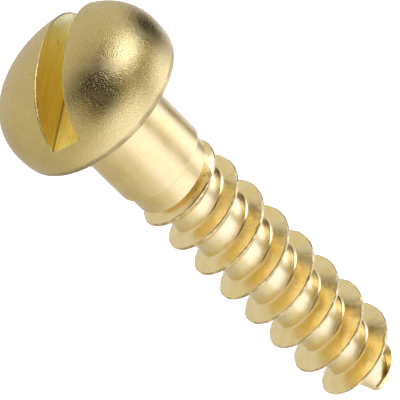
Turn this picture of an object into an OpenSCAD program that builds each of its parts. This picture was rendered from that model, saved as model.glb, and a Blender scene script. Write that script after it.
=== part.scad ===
// Slotted round-head wood screw, drawn head up, in millimetres.
// The shank's axis is Z and the point is at -Z. The origin is on that axis, in the plane
// of the bearing face under the head. The slot runs along X.
// The screw is one piece of brass, drawn here as the five features that it is made of.

/* [Head] */
// Diameter of the head at its widest ring
head_d = 7.52; // [7.3:0.02:7.9]
// Height of the head above its bearing face
head_h = 3.15; // [2.8:0.05:3.3]
// Height of the widest ring above the bearing face
rim_h = 0.65; // [0.3:0.05:0.8]
// How far the lower edge rounds in from the widest ring
rim_w = 0.12; // [0.1:0.02:0.5]
// Fullness of the dome, where 2 is half an ellipse and more is squarer
dome_fullness = 2.35; // [2:0.05:3]
// How far the head is formed off the shank's axis, towards -Y
head_runout = 0.09; // [0:0.01:0.1]
// Radius of the fillet between the bearing face and the shank
neck_r = 0.15; // [0.1:0.01:0.2]

/* [Slot] */
// Width of the slot, for the driver's blade
slot_w = 1.28; // [1.14:0.02:1.38]
// Depth of the slot's flat floor below the top of the head
slot_depth = 1.79; // [1.4:0.01:1.96]
// How far the slot is cut off the head's centre, towards -Y
slot_offset = 0.2; // [0:0.01:0.25]

/* [Shank and core] */
// Length from the bearing face to the tip
length = 19.05; // [18.5:0.05:19.5]
// Diameter of the plain shank
shank_d = 3.93; // [3.8:0.01:4.02]
// Length of the plain shank, from the bearing face to the cut band under it
shank_len = 3.88; // [3.8:0.02:4]
// Diameter of the cut band in which the thread's groove runs out under the plain shank
band_d = 3.6; // [3.5:0.02:3.7]
// How far the band is off the shank's axis, towards the side where it is hardly cut
band_offset = 0.08; // [0:0.01:0.1]
// Depth of the band's lower end on the axis, below the bearing face
band_end = 4.58; // [4.5:0.02:4.7]
// How far the band's lower end leans to follow the thread, in degrees
band_lean = 7.5; // [0:0.5:9]
// Diameter of the core at the top of its taper
core_top_d = 2.9; // [2.7:0.05:3.1]
// Diameter of the core where the point begins
core_end_d = 2.3; // [2.1:0.05:2.5]
// Length of the gimlet point
point_len = 1.9; // [1.6:0.05:2.2]
// Diameter of the point at its blunt end
tip_d = 1.14; // [0.8:0.02:1.3]

/* [Thread] */
// Diameter over the crest
thread_d = 4.02; // [3.94:0.01:4.17]
// Distance from one turn to the next, for 15 turns to the inch
pitch = 1.693; // [1.6:0.001:1.8]
// Width of the crest
crest_w = 0.1; // [0.08:0.01:0.2]
// Axial length of the steep flank that faces the head
head_flank = 0.24; // [0.16:0.01:0.3]
// Axial length of the slanted flank that faces the point
point_flank = 0.52; // [0.4:0.01:0.7]
// Direction in which the thread leaves the shank, in degrees about Z from +X
thread_start = 39; // [0:1:360]

/* [Hidden] */
$fn = 96;
head_r = head_d / 2;
shank_r = shank_d / 2;
crest_r = thread_d / 2;
core_top_r = core_top_d / 2;
core_end_r = core_end_d / 2;
tip_r = tip_d / 2;
point_top_z = point_len - length;
// Height at which the core's taper would reach its top diameter
core_top_z = -4.2;
// Directions about Z from +X in which the band is off the axis and its end is highest
band_offset_dir = 215;
band_high_dir = 345;
// How far the band is drawn below the plain shank before its leaning end is cut
band_reach = 2;
// Radius of the rounding at the point's blunt end
tip_round = 0.25;
// Steps in a short arc and in the dome's outline
arc_steps = 8;
dome_steps = 24;
// Heights of the crest where the thread begins and where it has closed on the point
thread_top_z = -4.14;
thread_end_z = 0.36 - length;
// Turns over which the thread rises to its full height
run_in = 0.45;
// How far below its even helix the thread begins, which it makes up over its first turn
start_lag = 0.35;
// Height above the tip at which the crest begins to close on the point, and how it curves in
closing_h = 2.14;
closing_power = 1.6;
// The least share of its full height that the thread is drawn at, at its two ends
least_rise = 0.05;
steps_per_turn = 48;
thread_steps = floor((thread_top_z - thread_end_z) / pitch * steps_per_turn);
brass = [0.8, 0.7, 0.45];
bright_brass = [0.88, 0.77, 0.47];

// Angles from a0 to a1 in n steps
function arc(a0, a1, n) = [for (i = [0:n]) a0 + (a1 - a0) * i / n];

// Radius of the point at height h above its end: a rounded edge, then a cone
function point_r(h) =
    h < tip_round
        ? tip_r - tip_round + sqrt(tip_round * tip_round - pow(tip_round - max(h, 0), 2))
        : tip_r + (core_end_r - tip_r) * (h - tip_round) / (point_len - tip_round);

// Radius of the metal under the thread at height z
function root_r(z) =
    z < point_top_z
        ? point_r(z + length)
        : core_end_r + (core_top_r - core_end_r) * (z - point_top_z) / (core_top_z - point_top_z);

// Radius of the crest at height z
function crest_at(z) =
    crest_r * (1 - pow(max(0, 1 - (z + length) / closing_h), closing_power));

// Share of its full height that the thread has after some turns, at height z
function rise(turn, z) =
    max(
        least_rise,
        min(sin(90 * min(1, turn / run_in)), (crest_at(z) - root_r(z)) / (crest_r - root_r(z)))
    );

// The thread's section as [radius, height from the crest], from its upper foot to its lower foot
function section(z, k) =
    let (
        root = root_r(z),
        tall = k * (crest_r - root),
        upper = k * (crest_w / 2 + head_flank),
        lower = k * (crest_w / 2 + point_flank)
    )
    [
        [root_r(z + upper), upper],
        [root + tall, k * crest_w / 2],
        [root + tall, -k * crest_w / 2],
        [root_r(z - lower), -lower]
    ];

// One section of the thread, placed on its helix
function ring(i) =
    let (
        turn = i / steps_per_turn,
        z = thread_top_z - pitch * turn - start_lag * (1 - min(1, turn)),
        a = thread_start - 360 * turn
    )
    [for (p = section(z, rise(turn, z))) [p[0] * cos(a), p[0] * sin(a), z + p[1]]];

module head() {
    color(brass)
    difference() {
        union() {
            translate([0, -head_runout, 0])
            rotate_extrude()
            polygon(concat(
                [[0, 0]],
                [for (a = arc(0, 90, arc_steps))
                    [head_r - rim_w + rim_w * sin(a), rim_h - rim_h * cos(a)]],
                [for (a = arc(0, 90, dome_steps), r = [pow(cos(a), 2 / dome_fullness)])
                    if (a > 0)
                        [head_r * r, rim_h + (head_h - rim_h) * pow(sin(a), 2 / dome_fullness)]]
            ));
            rotate_extrude()
            polygon(concat(
                [[0, rim_h], [0, -neck_r]],
                [for (a = arc(0, 90, arc_steps))
                    [shank_r + neck_r * (1 - cos(a)), -neck_r + neck_r * sin(a)]],
                [[shank_r + neck_r, rim_h]]
            ));
        }
        translate([-head_d, -head_runout - slot_offset - slot_w / 2, head_h - slot_depth])
        cube([2 * head_d, slot_w, head_h]);
    }
}

// The space below the band's leaning lower end
module below_band() {
    translate([0, 0, -band_end])
    rotate([0, -band_lean, band_high_dir])
    translate([-head_d, -head_d, -length])
    cube([2 * head_d, 2 * head_d, length]);
}

module shank() {
    color(brass) {
        translate([0, 0, -shank_len])
        cylinder(h = shank_len - neck_r, r = shank_r);
        difference() {
            rotate([0, 0, band_offset_dir])
            translate([band_offset, 0, -shank_len - band_reach])
            cylinder(h = shank_len, d = band_d);
            below_band();
        }
    }
}

module core() {
    color(bright_brass)
    intersection() {
        translate([0, 0, point_top_z])
        cylinder(h = core_top_z - point_top_z, r1 = core_end_r, r2 = core_top_r);
        below_band();
    }
}

module thread() {
    per_ring = len(section(thread_top_z, 1));
    points = [for (i = [0:thread_steps]) each ring(i)];
    last = thread_steps * per_ring;
    sides = [
        for (i = [0:thread_steps - 1], j = [0:per_ring - 1])
            let (
                a = i * per_ring + j,
                b = i * per_ring + (j + 1) % per_ring,
                c = b + per_ring,
                d = a + per_ring
            )
            each [[a, b, c], [a, c, d]]
    ];
    top_cap = [for (j = [per_ring - 1:-1:0]) j];
    end_cap = [for (j = [0:per_ring - 1]) last + j];
    color(bright_brass)
    polyhedron(points, concat([top_cap], sides, [end_cap]), convexity = 10);
}

module point() {
    color(brass)
    translate([0, 0, -length])
    rotate_extrude()
    polygon(concat(
        [[0, point_len], [0, 0]],
        [for (a = arc(0, 90, arc_steps))
            [tip_r - tip_round + tip_round * sin(a), tip_round - tip_round * cos(a)]],
        [[core_end_r, point_len]]
    ));
}

head();
shank();
core();
thread();
point();
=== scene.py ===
"""A slotted round-head wood screw of brass: tumbled head, plain shank and a cut thread.

Lengths are in millimetres until a mesh is made, which is in metres, in the frame of the CAD model.
"""

import math

import bpy
import numpy as np
from mathutils import Matrix, Vector, noise


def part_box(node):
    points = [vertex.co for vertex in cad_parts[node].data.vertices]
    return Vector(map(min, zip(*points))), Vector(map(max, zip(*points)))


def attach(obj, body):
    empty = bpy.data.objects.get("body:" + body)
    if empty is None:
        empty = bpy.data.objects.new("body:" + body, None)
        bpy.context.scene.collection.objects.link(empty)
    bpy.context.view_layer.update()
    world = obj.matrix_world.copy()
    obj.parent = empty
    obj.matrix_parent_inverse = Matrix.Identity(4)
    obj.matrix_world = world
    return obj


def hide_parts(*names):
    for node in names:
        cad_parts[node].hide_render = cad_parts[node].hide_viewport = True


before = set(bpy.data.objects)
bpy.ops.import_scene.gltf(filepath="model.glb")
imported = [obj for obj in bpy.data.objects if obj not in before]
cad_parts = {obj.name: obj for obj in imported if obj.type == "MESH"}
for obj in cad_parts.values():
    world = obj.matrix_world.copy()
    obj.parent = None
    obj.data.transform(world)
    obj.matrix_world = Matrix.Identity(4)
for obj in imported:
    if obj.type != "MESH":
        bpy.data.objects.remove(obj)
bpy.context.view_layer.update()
MM = 0.001
# Name of the thread's coordinates across and along its tool marks
MARKS = "marks"
# How far apart the noises of one seed and the next are taken
SEED_STEP = (7.3, 3.1, 5.7)


def cad_box(node):
    """Lowest and highest corner of a CAD node, in millimetres."""
    low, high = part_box(node)
    return np.array(low) / MM, np.array(high) / MM


# Sizes that the frame gives
HEAD_LOW, HEAD_HIGH = cad_box("head")
SHANK_HIGH = cad_box("shank")[1]
POINT_LOW, POINT_HIGH = cad_box("point")
HEAD_R = (HEAD_HIGH[0] - HEAD_LOW[0]) / 2
HEAD_Y = (HEAD_HIGH[1] + HEAD_LOW[1]) / 2
NECK_R = -HEAD_LOW[2]
SHANK_R = SHANK_HIGH[0]
CORE_END_R = POINT_HIGH[0]
POINT_TOP_Z = POINT_HIGH[2]
TIP_Z = POINT_LOW[2]

# Head. Its height is the whole dome's, of which the slot takes the very top away
HEAD_H = 3.15
RIM_H = 0.65
RIM_W = 0.12
DOME_FULLNESS = 2.35
SLOT_W = 1.28
SLOT_FLOOR_Z = HEAD_H - 1.79
SLOT_Y = HEAD_Y - 0.2
SLOT_EDGE_R = 0.045
HEAD_CELL = 0.045

# Shank, core and point. The cut band is under the plain shank, off its axis, and its end leans
SHANK_END_Z = -3.88
SHANK_EDGE_R = 0.04
BAND_R = 1.80
BAND_OFFSET = 0.08
BAND_OFFSET_DIR = math.radians(215)
BAND_END_Z = -4.58
BAND_LEAN = math.tan(math.radians(7.5))
BAND_HIGH_DIR = math.radians(345)
CORE_TOP_R = 1.45
CORE_TOP_Z = -4.2
TIP_R = 0.57
TIP_ROUND = 0.25
# How far the shank goes on inside the head, and the point inside the core
INTO_HEAD = 0.3
INTO_CORE = 0.02
# Points in a ring, and rings along each length
ROUND_STEPS = 180
SHANK_STEPS = 40
BAND_STEPS = 20
CORE_STEPS = 160
POINT_STEPS = 30

# Thread
PITCH = 1.693
CREST_R = 2.01
CREST_W = 0.10
HEAD_FLANK = 0.24
POINT_FLANK = 0.52
THREAD_START = 39
THREAD_TOP_Z = -4.14
THREAD_END_Z = TIP_Z + 0.36
RUN_IN = 0.45
START_LAG = 0.35
CLOSING_H = 2.14
CLOSING_POWER = 1.6
LEAST_RISE = 0.05
STEPS_PER_TURN = 144
# Lengths along the section that the bends at the crest and at the upper foot take
CREST_ROUND = 0.06
FOOT_ROUND = 0.12
# How deep the feet go into the metal under them
FOOT_SINK = 0.03
# How far the crest is ragged and the flanks wavy, and how long those marks are. FINE_RAGGED is the
# fine raggedness as a share of the coarse
CREST_RAGGED = 0.018
RAGGED_LENGTH = 0.28
FINE_RAGGED = 0.6
FINE_LENGTH = 0.11
FLANK_WAVES = 0.006
WAVE_LENGTH = 0.9
# Share of the way from the core to the band's edge that the first upper flank rises from. LEAVES_BAND
# and REACHES_CORE are the turns at which its foot starts to move off that line and is on the core
ON_BAND = 0.33
LEAVES_BAND = 0.7
REACHES_CORE = 0.95
FOOT_STEPS = 8
FLANK_STEPS = 7
CREST_STEPS = 5

# Camera
AIM = Vector((0.059, -0.041, -6.520)) * MM
AZIMUTH = math.radians(218.31)
ELEVATION = math.radians(32.27)
ROLL = math.radians(-45.46)
DISTANCE = 151.05 * MM
LENS = 344.0
SENSOR = 36.0

# Floor, in metres. It is far down, so that it hides nothing from below
FLOOR_Z = -0.5
FLOOR_HALF = 3.0
FLOOR_PALE = (0.9, 0.9, 0.9, 1)
FLOOR_ROUGH = 0.9
FLOOR_GLOW = 0.9


def unit(azimuth, elevation):
    """The direction at this azimuth from +X and this elevation, in radians."""
    flat = math.cos(elevation)
    return Vector((flat * math.cos(azimuth), flat * math.sin(azimuth), math.sin(elevation)))


# Meshes


def add_mesh(name, points, faces, node, material, marks=None):
    """A smooth mesh from points in millimetres, which stands for one CAD node.

    marks holds two lengths in millimetres for each point, across and along the tool marks.
    """
    mesh = bpy.data.meshes.new(name)
    mesh.from_pydata((np.asarray(points) * MM).tolist(), [], [list(map(int, f)) for f in faces])
    if marks is not None:
        corners = np.empty(len(mesh.loops), np.int32)
        mesh.loops.foreach_get("vertex_index", corners)
        layer = mesh.uv_layers.new(name=MARKS)
        layer.data.foreach_set("uv", np.asarray(marks, np.float32)[corners].ravel())
    mesh.validate()
    mesh.shade_smooth()
    piece = bpy.data.objects.new(name, mesh)
    bpy.context.scene.collection.objects.link(piece)
    mesh.materials.append(material)
    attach(piece, "root")
    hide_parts(node)
    return piece


def wobble(point, size, seed):
    """Smooth noise from -1 to 1 at a point, with features of about this size."""
    apart = Vector([seed * step for step in SEED_STEP])
    return noise.noise(Vector(point) / size + apart)


def skin_faces(rings, per_ring):
    """Faces, looking outward, of a solid whose skin is loops of points with a cap at each end."""
    faces = []
    for i in range(rings - 1):
        for j in range(per_ring):
            a = i * per_ring + j
            b = i * per_ring + (j + 1) % per_ring
            faces.append((a, b, b + per_ring, a + per_ring))
    last = (rings - 1) * per_ring
    faces.append(tuple(reversed(range(per_ring))))
    faces.append(tuple(range(last, last + per_ring)))
    return [tuple(reversed(face)) for face in faces]


def lathe(profile, place=None):
    """Points and faces of a solid turned about Z from [radius, height], from its top to its bottom.

    place gives a ring's shift in X and Y and how much of the band's lean it takes.
    """
    points = []
    for r, z in profile:
        x0, y0, lean = place(r, z) if place else (0, 0, 0)
        for k in range(ROUND_STEPS):
            a = 2 * math.pi * k / ROUND_STEPS
            up = lean * r * BAND_LEAN * math.cos(a - BAND_HIGH_DIR)
            points.append((x0 + r * math.cos(a), y0 + r * math.sin(a), z + up))
    return points, skin_faces(len(profile), ROUND_STEPS)


def skin(field, low, high, cell):
    """Points and quads on the zero level of a field that is negative inside, by surface nets."""
    axes = [np.arange(low[i] - 2 * cell, high[i] + 3 * cell, cell) for i in range(3)]
    grid = np.stack(np.meshgrid(*axes, indexing="ij"), -1)
    values = field(grid)
    inside = values < 0
    shape = np.array(values.shape) - 1
    total = np.zeros((*shape, 3))
    count = np.zeros(shape)
    for axis in range(3):
        others = [k for k in range(3) if k != axis]
        for corner in ((0, 0), (0, 1), (1, 0), (1, 1)):
            first = [slice(0, -1)] * 3
            for k, c in zip(others, corner):
                first[k] = slice(c, values.shape[k] - 1 + c)
            second = list(first)
            second[axis] = slice(1, None)
            first, second = tuple(first), tuple(second)
            crossed = inside[first] != inside[second]
            change = values[first] - values[second]
            share = np.where(crossed, values[first] / np.where(change == 0, 1, change), 0)
            place = grid[first].copy()
            place[..., axis] += share * cell
            total += place * crossed[..., None]
            count += crossed
    used = count > 0
    index = np.full(shape, -1)
    index[used] = np.arange(used.sum())
    points = total[used] / count[used][:, None]
    # A few steps down the field's slope bring the points onto its zero level
    for _ in range(3):
        slope = gradient(field, points, cell / 20)
        step = field(points) / np.maximum((slope**2).sum(-1), 1e-6)
        points = points - np.clip(step, -cell, cell)[:, None] * slope
    return points, net_faces(inside, index)


def gradient(field, points, step):
    """The field's slope at points, by central differences."""
    slope = np.empty_like(points)
    for axis in range(3):
        shift = np.zeros(3)
        shift[axis] = step
        slope[:, axis] = (field(points + shift) - field(points - shift)) / (2 * step)
    return slope


def net_faces(inside, index):
    """A quad for each grid edge that crosses the surface, from the four cells round it."""
    faces = []
    for axis in range(3):
        p, q = [k for k in range(3) if k != axis]
        if axis == 1:
            p, q = q, p
        inner = [slice(1, -1)] * 3
        ahead = list(inner)
        inner[axis], ahead[axis] = slice(0, -1), slice(1, None)
        first, second = inside[tuple(inner)], inside[tuple(ahead)]
        at = np.argwhere(first != second)
        outward = first[tuple(at.T)]
        cell = at + 1
        cell[:, axis] -= 1
        back_p, back_q = np.zeros(3, int), np.zeros(3, int)
        back_p[p], back_q[q] = 1, 1
        quad = np.stack(
            [index[tuple((cell - s).T)] for s in (0 * back_p, back_p, back_p + back_q, back_q)], 1
        )
        faces.append(np.where(outward[:, None], quad, quad[:, ::-1]))
    return np.concatenate(faces)


# The head, as a field


def smooth_max(a, b, radius):
    """The larger of two distances, with the edge between them rounded."""
    blend = np.maximum(radius - np.abs(a - b), 0)
    return np.maximum(a, b) + blend**2 / (4 * radius)


def oval(across, along, half_width, half_height, fullness):
    """About the distance to a superellipse round the origin, for across and along of 0 or more."""
    a = np.maximum(across, 1e-6) / half_width
    b = np.maximum(along, 1e-6) / half_height
    level = (a**fullness + b**fullness) ** (1 / fullness)
    scale = level ** (1 - fullness)
    slope_a = scale * a ** (fullness - 1) / half_width
    slope_b = scale * b ** (fullness - 1) / half_height
    return (level - 1) / np.maximum(np.hypot(slope_a, slope_b), 1e-3)


def head_field(p):
    """About the distance to the slotted dome and the fillet under it, negative inside."""
    x, y, z = p[..., 0], p[..., 1], p[..., 2]
    r = np.hypot(x, y - HEAD_Y)
    dome = oval(r, z - RIM_H, HEAD_R, HEAD_H - RIM_H, DOME_FULLNESS)
    core = HEAD_R - RIM_W
    rim = np.where(r > core, oval(r - core, RIM_H - z, RIM_W, RIM_H, 2), -z)
    body = np.where(z > RIM_H, dome, np.where(z > 0, rim, np.maximum(r - core, -z)))
    shank_r = np.hypot(x, y)
    fillet = NECK_R - np.hypot(np.minimum(shank_r - SHANK_R - NECK_R, 0), np.maximum(z + NECK_R, 0))
    neck = np.where(z > 0, np.maximum(shank_r - SHANK_R, z - RIM_H), np.maximum(fillet, -NECK_R - z))
    solid = np.minimum(body, neck)
    slot = np.maximum(np.abs(y - SLOT_Y) - SLOT_W / 2, SLOT_FLOOR_Z - z)
    return smooth_max(solid, -slot, SLOT_EDGE_R)


def make_head(material):
    points, faces = skin(head_field, HEAD_LOW, HEAD_HIGH, HEAD_CELL)
    return add_mesh("head_skin", points, faces, "head", material)


# Shank, core and point


def rounded_end(radius, end_z):
    """The lower edge of a cylinder as [radius, height], rounded."""
    edge = []
    for a in np.radians(np.arange(15, 91, 15)):
        z = end_z + SHANK_EDGE_R * (1 - math.sin(a))
        edge.append((radius - SHANK_EDGE_R * (1 - math.cos(a)), z))
    return edge


def shank_profile():
    """The shank from inside the head to the band's lower end, inside the core."""
    shank_heights = np.linspace(-NECK_R, SHANK_END_Z + SHANK_EDGE_R, SHANK_STEPS)
    band_heights = np.linspace(SHANK_END_Z, BAND_END_Z + SHANK_EDGE_R, BAND_STEPS)
    # The first two rings close the shank inside the head
    profile = [(SHANK_R - 0.4, INTO_HEAD), (SHANK_R - 0.02, INTO_HEAD - 0.02), (SHANK_R, 0.0)]
    profile += [(SHANK_R, z) for z in shank_heights]
    profile += rounded_end(SHANK_R, SHANK_END_Z)
    profile += [(BAND_R, z) for z in band_heights]
    profile += rounded_end(BAND_R, BAND_END_Z)
    profile.append((CORE_TOP_R - 0.1, BAND_END_Z))
    return profile


def band_place(r, z):
    """A ring's shift in X and Y and its share of the lean, which only the band's rings have."""
    if z > SHANK_END_Z or r > BAND_R:
        return 0, 0, 0
    lean = (SHANK_END_Z - z) / (SHANK_END_Z - BAND_END_Z)
    return BAND_OFFSET * math.cos(BAND_OFFSET_DIR), BAND_OFFSET * math.sin(BAND_OFFSET_DIR), lean


def make_shank(material):
    points, faces = lathe(shank_profile(), band_place)
    return add_mesh("shank_skin", points, faces, "shank", material)


def point_r(h):
    """Radius of the point at height h above its end."""
    if h < TIP_ROUND:
        return TIP_R - TIP_ROUND + math.sqrt(TIP_ROUND**2 - (TIP_ROUND - max(h, 0)) ** 2)
    return TIP_R + (CORE_END_R - TIP_R) * (h - TIP_ROUND) / (POINT_TOP_Z - TIP_Z - TIP_ROUND)


def root_r(z):
    """Radius of the metal under the thread at height z."""
    if z < POINT_TOP_Z:
        return point_r(z - TIP_Z)
    return CORE_END_R + (CORE_TOP_R - CORE_END_R) * (z - POINT_TOP_Z) / (CORE_TOP_Z - POINT_TOP_Z)


def make_core(material):
    heights = np.linspace(CORE_TOP_Z, POINT_TOP_Z, CORE_STEPS)
    points, faces = lathe([(root_r(z), z) for z in heights])
    return add_mesh("core_skin", points, faces, "core", material)


def make_point(material):
    slope = np.linspace(POINT_TOP_Z, TIP_Z + TIP_ROUND, POINT_STEPS)
    end = [TIP_Z + TIP_ROUND * (1 - math.sin(a)) for a in np.radians(np.arange(10, 91, 10))]
    profile = [(root_r(z), z) for z in [*slope, *end]]
    hidden = (0.9 * profile[0][0], profile[0][1] + INTO_CORE)
    points, faces = lathe([hidden, *profile])
    return add_mesh("point_skin", points, faces, "point", material)


# Thread


def crest_at(z):
    """Radius of the crest at height z, as it closes on the point."""
    return CREST_R * (1 - max(0.0, 1 - (z - TIP_Z) / CLOSING_H) ** CLOSING_POWER)


def rise(turn, z):
    """Share of its full height that the thread has after some turns, at height z."""
    begun = math.sin(math.radians(90 * min(1, turn / RUN_IN)))
    return max(LEAST_RISE, min(begun, (crest_at(z) - root_r(z)) / (CREST_R - root_r(z))))


def curve(a, b, c, steps):
    """Points on a bend from a to c that starts and ends in the directions of b."""
    out = []
    for t in np.linspace(0, 1, steps):
        out.append((1 - t) ** 2 * a + 2 * t * (1 - t) * b + t**2 * c)
    return out


def straight(a, b, steps):
    """Points on the line from a to b, both ends included."""
    return [a + (b - a) * t for t in np.linspace(0, 1, steps)]


def towards(a, b, length):
    """The point this far from a on the way to b, and no further than half way."""
    return a + (b - a) * min(0.5, length / max(np.linalg.norm(b - a), 1e-6))


def band_edge(turn, z):
    """The band's lower edge as [radius, height from the crest], and the foot's share of the way to it."""
    a = math.radians(THREAD_START) - 2 * math.pi * turn
    radius = BAND_R + BAND_OFFSET * math.cos(a - BAND_OFFSET_DIR)
    height = BAND_END_Z + BAND_R * BAND_LEAN * math.cos(a - BAND_HIGH_DIR)
    share = min(1, max(0, (REACHES_CORE - turn) / (REACHES_CORE - LEAVES_BAND)))
    return np.array([radius, height - z]), ON_BAND * share * share * (3 - 2 * share)


def thread_section(z, k, turn):
    """The thread's outline as [radius, height from the crest], from its upper foot to its lower foot."""
    root = root_r(z)
    tall = k * (CREST_R - root)
    upper = k * (CREST_W / 2 + HEAD_FLANK)
    lower = k * (CREST_W / 2 + POINT_FLANK)
    foot_a = np.array([root_r(z + upper), upper])
    edge, share = band_edge(turn, z)
    foot_a = foot_a + (edge - foot_a) * share
    top_a = np.array([root + tall, k * CREST_W / 2])
    top_b = np.array([root + tall, -k * CREST_W / 2])
    foot_b = np.array([root_r(z - lower) - FOOT_SINK, -lower])
    middle = (top_a + top_b) / 2
    bend = CREST_ROUND * k
    start_a, end_a = towards(top_a, foot_a, bend), towards(top_a, middle, bend)
    start_b, end_b = towards(top_b, middle, bend), towards(top_b, foot_b, bend)
    foot_top = foot_a + np.array([-FOOT_SINK, FOOT_ROUND * k])
    foot_out = towards(foot_a, top_a, FOOT_ROUND * k)
    outline = curve(foot_top, foot_a, foot_out, FOOT_STEPS)
    outline += straight(foot_out, start_a, FLANK_STEPS)[1:-1]
    outline += curve(start_a, top_a, end_a, CREST_STEPS)
    outline += curve(start_b, top_b, end_b, CREST_STEPS - 1)[1:]
    outline += straight(end_b, foot_b, FLANK_STEPS)[1:]
    return np.array(outline)


def thread_wear(here, z):
    """How far a point of the thread, whose crest is at height z, is moved out and up by wear."""
    radius = math.hypot(here[0], here[1])
    outer = max(0, (radius - root_r(z)) / (CREST_R - root_r(z)))
    ragged = wobble(here, RAGGED_LENGTH, 1) + FINE_RAGGED * wobble(here, FINE_LENGTH, 2)
    return CREST_RAGGED * outer**2 * ragged + FLANK_WAVES * wobble(here, WAVE_LENGTH, 3)


def make_thread(material):
    steps = int((THREAD_TOP_Z - THREAD_END_Z) / PITCH * STEPS_PER_TURN)
    points, marks = [], []
    for i in range(steps + 1):
        turn = i / STEPS_PER_TURN
        z = THREAD_TOP_Z - PITCH * turn - START_LAG * (1 - min(1, turn))
        a = math.radians(THREAD_START) - 2 * math.pi * turn
        outline = thread_section(z, rise(turn, z), turn)
        lengths = np.hypot(*np.diff(outline, axis=0).T)
        across = np.concatenate([[0], np.cumsum(lengths)])
        along = 2 * math.pi * CREST_R * turn
        for (radius, height), width in zip(outline, across):
            wear = thread_wear((radius * math.cos(a), radius * math.sin(a), z + height), z)
            worn = radius + wear
            points.append((worn * math.cos(a), worn * math.sin(a), z + height + wear))
            marks.append((width, along))
    faces = skin_faces(steps + 1, len(outline))
    return add_mesh("thread_skin", points, faces, "thread", material, marks)


# Materials


# Colours of each feature's dull and clean areas, and of the marks, painted shade and painted light on it
HEAD_DULL = (0.73, 0.56, 0.20)
HEAD_CLEAN = (0.79, 0.62, 0.24)
HEAD_SPECKLE = (0.58, 0.45, 0.17)
# Painted shade along the head's lower edge, where it meets the shank
HEAD_EDGE_SHADE = (0.28, 0.20, 0.07)
HEAD_PIT = (0.30, 0.22, 0.10)
SLOT_DULL = (0.97, 0.70, 0.18)
SLOT_CLEAN = (1.0, 0.92, 0.34)
# Painted light at the slot's +X end
SLOT_END_PAINTED_LIGHT = (1.0, 0.92, 0.52)
SLOT_STAIN = (0.40, 0.27, 0.08)
# Painted shade in the slot's inner corners
SLOT_CORNER_SHADE = (0.25, 0.16, 0.04)
SHANK_DULL = (0.79, 0.60, 0.23)
SHANK_CLEAN = (0.85, 0.66, 0.29)
SHANK_LINE = (0.90, 0.73, 0.32)
SHANK_SPECK = (0.36, 0.25, 0.10)
# Painted shade in the thin line where the band begins
SHANK_SEAM_SHADE = (0.34, 0.24, 0.10)
CORE_DULL = (0.85, 0.67, 0.28)
CORE_CLEAN = (0.92, 0.75, 0.38)
CORE_RING = (0.93, 0.78, 0.38)
THREAD_DULL = (0.95, 0.74, 0.30)
THREAD_CLEAN = (1.0, 0.82, 0.40)
THREAD_MARK = (1.0, 0.90, 0.55)
# Darker colour of the crest, in patches
THREAD_CREST = (0.42, 0.31, 0.12)
# Painted shade in the corner at the thread's upper foot
THREAD_FOOT_SHADE = (0.34, 0.23, 0.09)


class Nodes:
    """A short way to add nodes to a tree and join them."""

    def __init__(self, tree):
        self.tree = tree

    def add(self, kind, inputs=None, **settings):
        node = self.tree.nodes.new(kind)
        for name, value in settings.items():
            setattr(node, name, value)
        for key, value in (inputs or {}).items():
            if isinstance(value, bpy.types.NodeSocket):
                self.tree.links.new(value, node.inputs[key])
            else:
                node.inputs[key].default_value = value
        return node


def start_metal(name, colour, roughness):
    """A metal with its node helper, its shader and its coordinates in millimetres.

    The colour and the roughness are its plain values, over which its pattern is linked.
    """
    material = bpy.data.materials.new(name)
    material.use_nodes = True
    n = Nodes(material.node_tree)
    shader = material.node_tree.nodes["Principled BSDF"]
    shader.inputs["Metallic"].default_value = 1.0
    shader.inputs["Base Color"].default_value = (*colour, 1)
    shader.inputs["Roughness"].default_value = roughness
    place = n.add("ShaderNodeTexCoord").outputs["Object"]
    where = n.add("ShaderNodeVectorMath", {0: place, "Scale": 1 / MM}, operation="SCALE").outputs[0]
    return material, n, shader, where


def stretched(n, where, scale):
    """A place with each of its coordinates multiplied by its own number."""
    return n.add("ShaderNodeVectorMath", {0: where, 1: scale}, operation="MULTIPLY").outputs[0]


def noise_of(n, where, scale, detail=2.0, roughness=0.5):
    """Noise of about 0 to 1, with this many features to a millimetre."""
    inputs = {"Vector": where, "Scale": scale, "Detail": detail, "Roughness": roughness}
    return n.add("ShaderNodeTexNoise", inputs).outputs["Fac"]


def between(n, value, low, high, to_low=0.0, to_high=1.0):
    """value taken smoothly from low..high to to_low..to_high."""
    inputs = {"Value": value, 1: low, 2: high, 3: to_low, 4: to_high}
    return n.add("ShaderNodeMapRange", inputs, interpolation_type="SMOOTHSTEP").outputs[0]


def mix_colour(n, share, a, b):
    """a where share is 0 and b where it is 1; each is a colour or a socket."""
    a, b = (c if isinstance(c, bpy.types.NodeSocket) else (*c, 1) for c in (a, b))
    return n.add("ShaderNodeMix", {0: share, 6: a, 7: b}, data_type="RGBA").outputs[2]


def mix_value(n, share, a, b):
    """a where share is 0 and b where it is 1."""
    return n.add("ShaderNodeMix", {0: share, 2: a, 3: b}, data_type="FLOAT").outputs[0]


def math_of(n, operation, *values):
    """The result of one operation on these values."""
    inputs = dict(enumerate(values))
    return n.add("ShaderNodeMath", inputs, operation=operation).outputs[0]


def product(n, first, second):
    """The two values multiplied."""
    return math_of(n, "MULTIPLY", first, second)


def split(n, vector):
    """The X, Y and Z of a vector."""
    return n.add("ShaderNodeSeparateXYZ", {"Vector": vector}).outputs


def away_from(n, value, middle):
    """How far a value is from this middle, either way."""
    return math_of(n, "ABSOLUTE", math_of(n, "SUBTRACT", value, middle))


def bumped(n, height, depth, under=None):
    """A bump whose height of 0 to 1 is this many millimetres, on top of the bump under it."""
    inputs = {"Height": height, "Distance": depth * MM, "Strength": 1.0}
    if under is not None:
        inputs["Normal"] = under
    return n.add("ShaderNodeBump", inputs).outputs["Normal"]


def join(n, shader, **sockets):
    """Links each value to the shader's socket of that name, written with _ for a space."""
    for name, socket in sockets.items():
        n.tree.links.new(socket, shader.inputs[name.replace("_", " ")])


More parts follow.
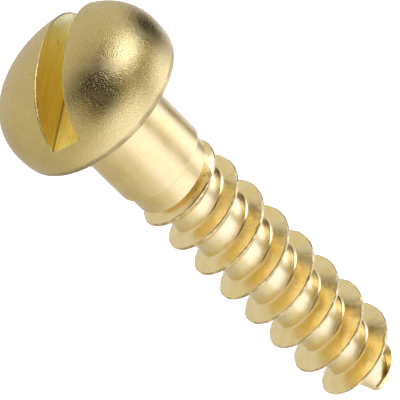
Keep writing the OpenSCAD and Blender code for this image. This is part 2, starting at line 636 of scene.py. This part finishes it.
def head_colour(n, where, axes, cloud):
    """Cloudy brass with a fine speckle, painted shade along the lower edge where the head meets the
    shank, and a few pits.
    """
    speckle = noise_of(n, where, 20.0, 1.0)
    body = mix_colour(n, between(n, cloud, 0.3, 0.7), HEAD_DULL, HEAD_CLEAN)
    body = mix_colour(n, between(n, speckle, 0.35, 0.65, 0.6, 0), body, HEAD_SPECKLE)
    # Painted shade, in patches, along the lower edge of the head where it meets the shank
    edge = product(n, between(n, axes["Z"], 0.16, 0.34, 1, 0), between(n, axes["Z"], 0.0, 0.05))
    edge = product(n, edge, between(n, noise_of(n, where, 1.2, 2.0), 0.3, 0.6, 0.3, 0.85))
    body = mix_colour(n, edge, body, HEAD_EDGE_SHADE)
    pits = noise_of(n, where, 3.1, 2.0)
    return mix_colour(n, between(n, pits, 0.74, 0.8, 0, 0.6), body, HEAD_PIT)


def slot_colour(n, where, axes, lines, off_middle):
    """Golden milled brass with stains, painted light towards the slot's +X end and painted shade in its
    inner corners.
    """
    milled = mix_colour(n, between(n, lines, 0.38, 0.62), SLOT_DULL, SLOT_CLEAN)
    # Painted light: the slot is paler towards its +X end
    milled = mix_colour(n, between(n, axes["X"], 0.9, 3.0, 0, 0.85), milled, SLOT_END_PAINTED_LIGHT)
    stain = noise_of(n, stretched(n, where, (1.2, 4.0, 4.0)), 1.1, 3.0)
    milled = mix_colour(n, between(n, stain, 0.64, 0.74, 0, 0.7), milled, SLOT_STAIN)
    # Painted shade in the inner corners, where the walls meet the floor
    by_wall = between(n, off_middle, SLOT_W / 2 - 0.07, SLOT_W / 2 - 0.03)
    by_floor = between(n, axes["Z"], SLOT_FLOOR_Z + 0.03, SLOT_FLOOR_Z + 0.07, 1, 0)
    corner = product(n, by_wall, by_floor)
    return mix_colour(n, product(n, corner, 0.8), milled, SLOT_CORNER_SHADE)


def head_grain(n, where):
    """The tumbled surface: a fine grain, a soft unevenness and sparse grit marks."""
    grain = bumped(n, noise_of(n, where, 28.0, 1.0), 0.009)
    grain = bumped(n, noise_of(n, where, 5.0, 2.0), 0.003, grain)
    grit = between(n, noise_of(n, where, 18.0, 0.0), 0.5, 0.75)
    return bumped(n, grit, 0.0035, grain)


def tumbled_brass():
    """Satin grain over the head, and milling lines along the slot."""
    material, n, shader, where = start_metal("tumbled_brass", (0.77, 0.59, 0.25), 0.30)
    axes = split(n, where)
    off_middle = away_from(n, axes["Y"], SLOT_Y)
    beside = between(n, off_middle, SLOT_W / 2 - 0.01, SLOT_W / 2 + 0.03, 1, 0)
    above = between(n, axes["Z"], SLOT_FLOOR_Z - 0.05, SLOT_FLOOR_Z - 0.02)
    in_slot = product(n, beside, above)
    cloud = noise_of(n, where, 0.9, 3.0)
    lines = noise_of(n, stretched(n, where, (0.35, 9.0, 9.0)), 1.6, 4.0, 0.7)

    body = head_colour(n, where, axes, cloud)
    milled = slot_colour(n, where, axes, lines, off_middle)
    normals = {0: in_slot, 4: head_grain(n, where), 5: bumped(n, lines, 0.03)}
    normal = n.add("ShaderNodeMix", normals, data_type="VECTOR").outputs[1]
    rough = mix_value(n, in_slot, between(n, cloud, 0.3, 0.7, 0.24, 0.30), 0.28)
    join(n, shader, Base_Color=mix_colour(n, in_slot, body, milled), Roughness=rough, Normal=normal)
    return material


def bright_brass():
    """A drawn shank: faint lines along it, a few specks and a thin line of painted shade where the band
    begins.
    """
    material, n, shader, where = start_metal("bright_brass", (0.85, 0.67, 0.31), 0.28)
    lines = noise_of(n, stretched(n, where, (5.0, 5.0, 0.4)), 2.0, 3.0, 0.6)
    cloud = noise_of(n, where, 1.1, 3.0)
    body = mix_colour(n, between(n, cloud, 0.35, 0.65), SHANK_DULL, SHANK_CLEAN)
    body = mix_colour(n, between(n, lines, 0.35, 0.7, 0, 0.35), body, SHANK_LINE)
    specks = noise_of(n, where, 4.2, 2.0)
    body = mix_colour(n, between(n, specks, 0.73, 0.79, 0, 0.6), body, SHANK_SPECK)
    # Painted shade, in patches, in a thin line at the step where the band begins
    from_end = away_from(n, split(n, where)["Z"], SHANK_END_Z)
    patchy = between(n, noise_of(n, where, 1.5, 2.0), 0.35, 0.6, 0.3, 0.85)
    seam_shade = product(n, between(n, from_end, 0.015, 0.045, 1, 0), patchy)
    body = mix_colour(n, seam_shade, body, SHANK_SEAM_SHADE)
    normal = bumped(n, noise_of(n, where, 14.0, 2.0), 0.002)
    normal = bumped(n, lines, 0.003, normal)
    rough = between(n, cloud, 0.3, 0.7, 0.25, 0.33)
    join(n, shader, Base_Color=body, Roughness=rough, Normal=normal)
    return material


def cut_brass():
    """The turned core and point: fine rings round the axis."""
    material, n, shader, where = start_metal("cut_brass", (0.88, 0.70, 0.33), 0.24)
    rings = noise_of(n, stretched(n, where, (0.5, 0.5, 9.0)), 2.0, 4.0, 0.7)
    cloud = noise_of(n, where, 1.4, 2.0)
    body = mix_colour(n, between(n, cloud, 0.35, 0.65), CORE_DULL, CORE_CLEAN)
    body = mix_colour(n, between(n, rings, 0.35, 0.65, 0, 0.4), body, CORE_RING)
    rough = between(n, cloud, 0.3, 0.7, 0.22, 0.30)
    join(n, shader, Base_Color=body, Roughness=rough, Normal=bumped(n, rings, 0.005))
    return material


def thread_brass():
    """The cut thread: tool marks along the helix, a crest darker in patches and painted shade in the
    corner at the upper foot.
    """
    material, n, shader, where = start_metal("thread_brass", (0.90, 0.69, 0.28), 0.25)
    marks = n.add("ShaderNodeUVMap", uv_map=MARKS).outputs[0]
    tool = noise_of(n, stretched(n, marks, (14.0, 0.5, 1.0)), 1.6, 4.0, 0.75)
    chatter = noise_of(n, stretched(n, marks, (5.0, 1.2, 1.0)), 1.0, 2.0)
    cloud = noise_of(n, where, 1.6, 2.0)
    body = mix_colour(n, between(n, cloud, 0.35, 0.65), THREAD_DULL, THREAD_CLEAN)
    body = mix_colour(n, between(n, tool, 0.4, 0.7, 0, 0.4), body, THREAD_MARK)
    level = stretched(n, where, (1, 1, 0))
    radius = n.add("ShaderNodeVectorMath", {0: level}, operation="LENGTH").outputs["Value"]
    # The crest is darker in patches
    worn = between(n, noise_of(n, where, 3.0, 2.0), 0.35, 0.6, 0.25, 0.8)
    crest = product(n, between(n, radius, CREST_R - 0.05, CREST_R - 0.02), worn)
    body = mix_colour(n, crest, body, THREAD_CREST)
    # Painted shade in the corner where the upper flank meets the core
    seam_shade = between(n, split(n, marks)["X"], 0.06, 0.10, 0.75, 0)
    body = mix_colour(n, seam_shade, body, THREAD_FOOT_SHADE)
    normal = bumped(n, tool, 0.006)
    normal = bumped(n, chatter, 0.006, normal)
    rough = between(n, cloud, 0.3, 0.7, 0.22, 0.30)
    join(n, shader, Base_Color=body, Roughness=rough, Normal=normal)
    return material


# Stage


# Light of the studio by direction. The sky's level holds above SKY_FROM, the ground's below GROUND_FROM.
SKY_LEVEL = 0.68
SKY_FROM = -0.3
GROUND_LEVEL = 1.25
GROUND_FROM = -0.85
# The light goes from plain at the lower level to cool at the upper one
PLAIN_LEVEL = 0.62
COOL_LEVEL = 1.45
PLAIN = (1.02, 1.0, 1.0)
COOL = (0.94, 1.0, 1.48)
# Soft areas as azimuth, elevation, radius of the even middle, radius where it ends, and level
SOFT_AREAS = [
    ("left wall", 95, -28, 10, 60, 0.58),
    ("lower back box", 30, -50, 6, 32, 1.5),
    ("lower front box", 228, -42, 15, 45, 1.55),
    ("gap between boxes", 267, -33, 4, 16, 0.62),
    ("lower side box", 302, -41, 10, 28, 1.8),
    ("dim front", 276, -2, 6, 26, 0.42),
    ("low card", 339, -11, 18, 24, 0.01),
    ("low card, upper part", 332, 7, 11, 23, 0.02),
    ("front card", 226, 33, 16, 37, 0.03),
    ("overhead card", 266, 76, 21, 37, 0.02),
    ("upper key box", 302, 38, 11, 25, 2.8),
]


def make_world():
    world = bpy.data.worlds.new("studio")
    bpy.context.scene.world = world
    world.use_nodes = True
    tree = world.node_tree
    tree.nodes.clear()
    n = Nodes(tree)
    direction = n.add("ShaderNodeTexCoord").outputs["Generated"]
    level = between(n, split(n, direction)["Z"], GROUND_FROM, SKY_FROM, GROUND_LEVEL, SKY_LEVEL)
    for label, azimuth, elevation, inner, outer, strength in SOFT_AREAS:
        inputs = {0: direction, 1: unit(math.radians(azimuth), math.radians(elevation))}
        near = n.add("ShaderNodeVectorMath", inputs, operation="DOT_PRODUCT", label=label)
        low, high = math.cos(math.radians(outer)), math.cos(math.radians(inner))
        level = mix_value(n, between(n, near.outputs["Value"], low, high), level, strength)
    tint = n.add("ShaderNodeMapRange", {"Value": level, 1: PLAIN_LEVEL, 2: COOL_LEVEL}).outputs[0]
    seen = n.add("ShaderNodeLightPath").outputs["Is Camera Ray"]
    # The camera sees plain white, and the metal the studio
    shown = mix_colour(n, seen, mix_colour(n, tint, PLAIN, COOL), (1, 1, 1))
    power = mix_value(n, seen, level, 1.0)
    light = n.add("ShaderNodeBackground", {"Color": shown, "Strength": power})
    out = n.add("ShaderNodeOutputWorld")
    tree.links.new(light.outputs[0], out.inputs["Surface"])


def make_floor():
    mesh = bpy.data.meshes.new("floor")
    sides = [(-1, -1), (1, -1), (1, 1), (-1, 1)]
    corners = [(x * FLOOR_HALF, y * FLOOR_HALF, FLOOR_Z) for x, y in sides]
    mesh.from_pydata(corners, [], [(0, 1, 2, 3)])
    floor = bpy.data.objects.new("floor", mesh)
    bpy.context.scene.collection.objects.link(floor)
    material = bpy.data.materials.new("pale_floor")
    material.use_nodes = True
    shader = material.node_tree.nodes["Principled BSDF"]
    shader.inputs["Base Color"].default_value = FLOOR_PALE
    shader.inputs["Roughness"].default_value = FLOOR_ROUGH
    shader.inputs["Emission Color"].default_value = (1, 1, 1, 1)
    shader.inputs["Emission Strength"].default_value = FLOOR_GLOW
    mesh.materials.append(material)
    floor.visible_glossy = False


def make_camera():
    back = unit(AZIMUTH, ELEVATION)
    level = Vector((-math.sin(AZIMUTH), math.cos(AZIMUTH), 0))
    upright = back.cross(level)
    right = level * math.cos(ROLL) + upright * math.sin(ROLL)
    up = upright * math.cos(ROLL) - level * math.sin(ROLL)
    camera_data = bpy.data.cameras.new("camera")
    camera_data.lens = LENS
    camera_data.sensor_width = SENSOR
    camera_data.clip_start = 0.01
    camera = bpy.data.objects.new("camera", camera_data)
    bpy.context.scene.collection.objects.link(camera)
    turn = Matrix((right, up, back)).transposed().to_4x4()
    camera.matrix_world = Matrix.Translation(AIM + back * DISTANCE) @ turn
    bpy.context.scene.camera = camera


bpy.context.scene.view_settings.view_transform = "Standard"
make_camera()
make_world()
make_floor()
cut = cut_brass()
make_head(tumbled_brass())
make_shank(bright_brass())
make_core(cut)
make_thread(thread_brass())
make_point(cut)
